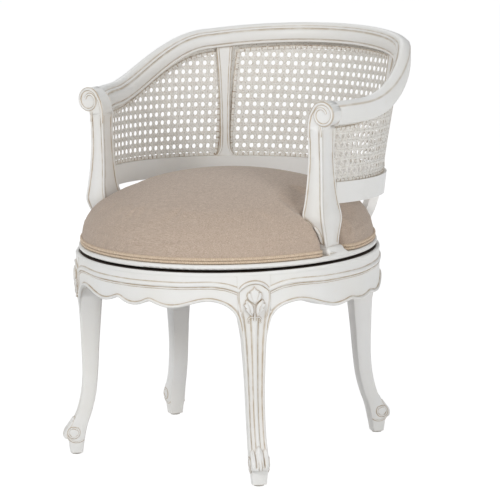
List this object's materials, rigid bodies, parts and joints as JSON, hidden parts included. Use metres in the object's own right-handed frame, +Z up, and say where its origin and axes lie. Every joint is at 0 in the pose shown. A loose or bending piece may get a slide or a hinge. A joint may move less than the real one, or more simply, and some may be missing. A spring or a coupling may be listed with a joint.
{
  "type": "swivel tub chair",
  "caption": "Low-backed swivel tub chair: caned wrap-around back and arms, scrolled arm posts and a domed seat turning on a round scalloped base with cabriole legs.",
  "frame": {"origin": "on the floor, under the swivel axis of the seat", "axes": "+Z up along the swivel axis; the seat at rest faces -Y and +X is the sitter's left"},
  "size_m": [0.574, 0.649, 0.74],
  "materials": {
    "painted_wood": "antique white paint, eggshell, rubbed to tan in the hollows",
    "cane": "woven cane under thin white paint",
    "linen": "beige plain-weave linen",
    "gimp": "two-row braid, tan",
    "foam": "cut foam",
    "deck_wood": "plywood, unpainted",
    "frame_wood": "beech, unpainted",
    "dark_board": "hardboard, stained black-brown",
    "bearing_steel": "zinc-plated pressed steel",
    "glide": "nylon"
  },
  "bodies": {
    "base": {"leg_front_right": "painted_wood", "leg_front_left": "painted_wood", "leg_rear_left": "painted_wood", "leg_rear_right": "painted_wood", "apron_front": "painted_wood", "apron_left": "painted_wood", "apron_rear": "painted_wood", "apron_right": "painted_wood", "leg_dowels": "frame_wood", "bearer_dowels": "frame_wood", "bearer_long": "frame_wood", "bearer_cross": "frame_wood", "base_board": "dark_board", "foot_glides": "glide", "bearing_lower_plate": "bearing_steel", "lower_plate_screws": "bearing_steel"},
    "ball_cage": {"bearing_balls": "bearing_steel", "bearing_cage": "bearing_steel"},
    "seat": {"bearing_upper_plate": "bearing_steel", "upper_plate_screws": "bearing_steel", "seat_deck": "deck_wood", "seat_ring": "painted_wood", "seat_foam": "foam", "seat_cover": "linen", "seat_gimp": "gimp", "arm_post_left": "painted_wood", "arm_post_right": "painted_wood", "arm_rail_left": "painted_wood", "arm_rail_right": "painted_wood", "crest_rail": "painted_wood", "crest_dowels": "frame_wood", "back_stile_left": "painted_wood", "back_stile_right": "painted_wood", "rail_left": "painted_wood", "rail_right": "painted_wood", "rail_back": "painted_wood", "cane_left": "cane", "cane_right": "cane", "cane_back": "cane"}
  },
  "joints": [
    {"name": "seat_swivel", "type": "hinge", "parent": "base", "child": "seat", "pos_m": [0, 0, 0.372], "axis": [0, 0, 1], "continuous": true},
    {"name": "cage_roll", "type": "hinge", "parent": "base", "child": "ball_cage", "pos_m": [0, 0, 0.372], "axis": [0, 0, 1], "continuous": true}
  ],
  "couplings": [
    {"joint": "cage_roll", "follows": "seat_swivel", "ratio": 0.5}
  ]
}
